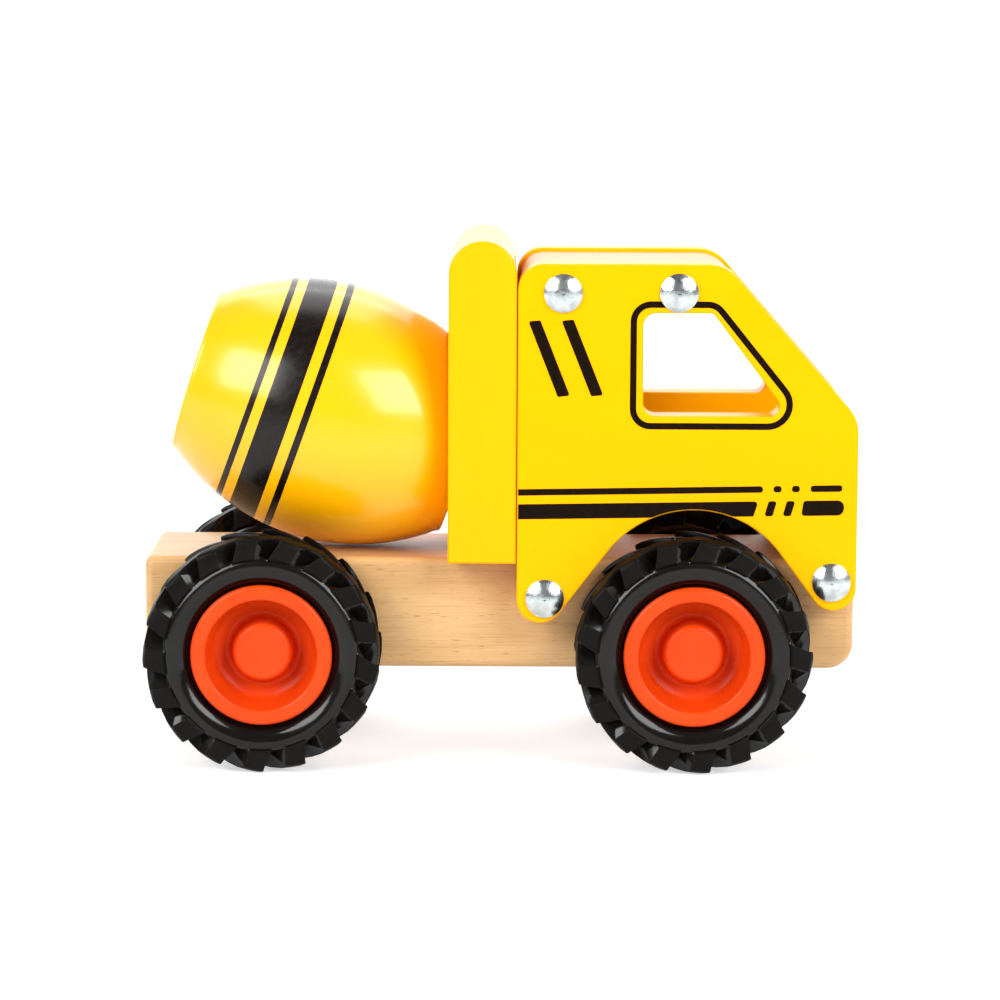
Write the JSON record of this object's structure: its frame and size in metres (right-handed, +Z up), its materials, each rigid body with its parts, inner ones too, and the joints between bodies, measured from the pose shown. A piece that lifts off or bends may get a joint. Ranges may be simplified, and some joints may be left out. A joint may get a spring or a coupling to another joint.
{
  "type": "toy cement mixer truck",
  "caption": "Wooden toy mixer truck with a tilted barrel drum that spins, a two-board cab, a beam chassis and rolling lugged wheels on steel axles.",
  "frame": {"origin": "on the ground under the middle of the truck, at the bottom centre of the box round it", "axes": "+X forward along the truck, +Y to its left, +Z up"},
  "size_m": [0.181, 0.0844, 0.1336],
  "materials": {
    "natural_wood": "clear lacquered beech",
    "yellow_wood": "gloss yellow lacquer on wood, dark printed graphics",
    "drum_paint": "gloss yellow lacquer with dark bands",
    "tyre_rubber": "semi-gloss moulded black",
    "rim_plastic": "gloss orange-red moulding",
    "zinc_dome": "bright zinc plate",
    "plated_steel": "zinc plated",
    "axle_steel": "ground bar"
  },
  "bodies": {
    "truck": {"chassis": "natural_wood", "roof_block": "natural_wood", "bonnet_block": "natural_wood", "drum_board": "yellow_wood", "cab_side_right": "yellow_wood", "cab_side_left": "yellow_wood", "cab_screw_right_roof_rear": "zinc_dome", "cab_screw_right_roof_front": "zinc_dome", "cab_screw_right_base_rear": "zinc_dome", "cab_screw_right_base_front": "zinc_dome", "cab_screw_left_roof_rear": "zinc_dome", "cab_screw_left_roof_front": "zinc_dome", "cab_screw_left_base_rear": "zinc_dome", "cab_screw_left_base_front": "zinc_dome", "board_screw_right": "plated_steel", "bonnet_screw_right": "plated_steel", "board_screw_left": "plated_steel", "bonnet_screw_left": "plated_steel", "drum_pivot_screw": "plated_steel", "pivot_head_washer": "plated_steel", "pivot_spacer_washer": "plated_steel"},
    "mixer_drum": {"drum": "drum_paint"},
    "front_wheels": {"axle_front": "axle_steel", "tyre_front_right": "tyre_rubber", "rim_front_right": "rim_plastic", "axle_washer_front_right": "plated_steel", "tyre_front_left": "tyre_rubber", "rim_front_left": "rim_plastic", "axle_washer_front_left": "plated_steel"},
    "rear_wheels": {"axle_rear": "axle_steel", "tyre_rear_right": "tyre_rubber", "rim_rear_right": "rim_plastic", "axle_washer_rear_right": "plated_steel", "tyre_rear_left": "tyre_rubber", "rim_rear_left": "rim_plastic", "axle_washer_rear_left": "plated_steel"}
  },
  "joints": [
    {"name": "drum_spin", "type": "hinge", "parent": "truck", "child": "mixer_drum", "pos_m": [-0.0441, 0, 0.087], "axis": [0.9532, 0, -0.3024], "continuous": true},
    {"name": "front_axle_spin", "type": "hinge", "parent": "truck", "child": "front_wheels", "pos_m": [0.049, 0, 0.03], "axis": [0, 1, 0], "continuous": true},
    {"name": "rear_axle_spin", "type": "hinge", "parent": "truck", "child": "rear_wheels", "pos_m": [-0.0598, 0, 0.03], "axis": [0, 1, 0], "continuous": true}
  ]
}
